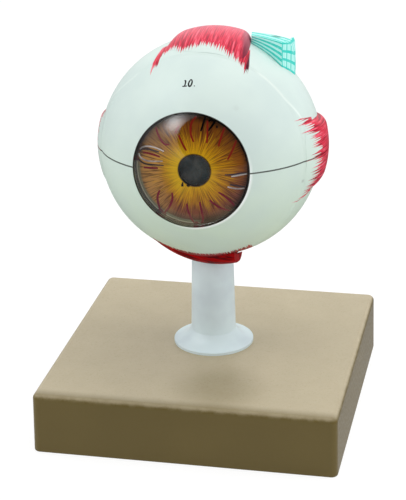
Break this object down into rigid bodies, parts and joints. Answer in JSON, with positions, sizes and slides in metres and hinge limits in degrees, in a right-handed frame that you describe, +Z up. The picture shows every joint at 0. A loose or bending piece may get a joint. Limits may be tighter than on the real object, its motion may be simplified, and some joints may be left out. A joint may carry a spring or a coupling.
{
  "type": "eye anatomy model",
  "caption": "Dissectible eyeball model of nested half shells with lens, vitreous ball, painted iris, clear cornea, eye muscles and nerve stump, on a post and square base.",
  "frame": {"origin": "centre of the base's underside, on the surface it stands on", "axes": "+Z up, the front of the base and the line of sight towards -Y, the nasal side towards +X"},
  "size_m": [0.2014, 0.2014, 0.2605],
  "materials": {
    "base_tan": "matt",
    "post_white": "gloss",
    "insert_brass": "satin",
    "bolt_steel": "satin",
    "sclera_white": "gloss",
    "pin_white": "gloss",
    "muscle_red": "gloss paint",
    "muscle_deep_red": "gloss paint",
    "tendon_teal": "gloss paint",
    "nerve_sheath_white": "gloss",
    "nerve_yellow": "gloss paint",
    "artery_red": "gloss paint",
    "vein_blue": "gloss paint",
    "cornea_clear": "clear, polished",
    "choroid_brown": "matt paint",
    "retina_orange": "matt paint",
    "ciliary_brown": "matt paint",
    "iris_brown": "painted",
    "vitreous_clear": "clear, polished",
    "lens_clear": "clear, polished"
  },
  "bodies": {
    "stand_and_lower_shell": {"base_tray": "base_tan", "stand_post": "post_white", "threaded_insert": "insert_brass", "stand_bolt": "bolt_steel", "stand_washer": "bolt_steel", "sclera_lower": "sclera_white", "locating_pins": "pin_white", "inferior_rectus": "muscle_deep_red", "inferior_oblique": "muscle_deep_red", "medial_rectus_lower": "muscle_red", "lateral_rectus_lower": "muscle_red", "optic_nerve_sheath": "nerve_sheath_white", "optic_nerve_core": "nerve_yellow", "central_retinal_artery": "artery_red", "central_retinal_vein": "vein_blue"},
    "upper_shell": {"sclera_upper": "sclera_white", "cornea": "cornea_clear", "superior_rectus": "muscle_red", "medial_rectus_upper": "muscle_red", "lateral_rectus_upper": "muscle_red", "superior_oblique_tendon": "tendon_teal", "trochlea": "tendon_teal", "superior_oblique": "muscle_red"},
    "upper_choroid": {"choroid_upper": "choroid_brown", "retina_upper": "retina_orange", "ciliary_body_upper": "ciliary_brown", "iris_upper": "iris_brown"},
    "lower_choroid": {"choroid_lower": "choroid_brown", "retina_lower": "retina_orange", "ciliary_body_lower": "ciliary_brown", "iris_lower": "iris_brown"},
    "vitreous": {"vitreous_body": "vitreous_clear"},
    "lens": {"crystalline_lens": "lens_clear"}
  },
  "joints": [
    {"name": "upper_shell_lift", "type": "slide", "parent": "stand_and_lower_shell", "child": "upper_shell", "axis": [0, 0.061, 0.9981], "range_m": [0, 0.3]},
    {"name": "lower_choroid_lift", "type": "slide", "parent": "stand_and_lower_shell", "child": "lower_choroid", "axis": [0, 0.061, 0.9981], "range_m": [0, 0.0721]},
    {"name": "vitreous_lift", "type": "slide", "parent": "stand_and_lower_shell", "child": "vitreous", "axis": [0, 0.061, 0.9981], "range_m": [0, 0.1441]},
    {"name": "upper_choroid_lift", "type": "slide", "parent": "stand_and_lower_shell", "child": "upper_choroid", "axis": [0, 0.061, 0.9981], "range_m": [0, 0.2221]},
    {"name": "lens_draw", "type": "slide", "parent": "vitreous", "child": "lens", "axis": [0, -0.9981, 0.061], "range_m": [0, 0.0136]}
  ],
  "couplings": [
    {"joint": "lower_choroid_lift", "follows": "upper_shell_lift", "ratio": 0.24},
    {"joint": "vitreous_lift", "follows": "upper_shell_lift", "ratio": 0.48},
    {"joint": "upper_choroid_lift", "follows": "upper_shell_lift", "ratio": 0.74},
    {"joint": "lens_draw", "follows": "upper_shell_lift", "ratio": 0.045}
  ]
}
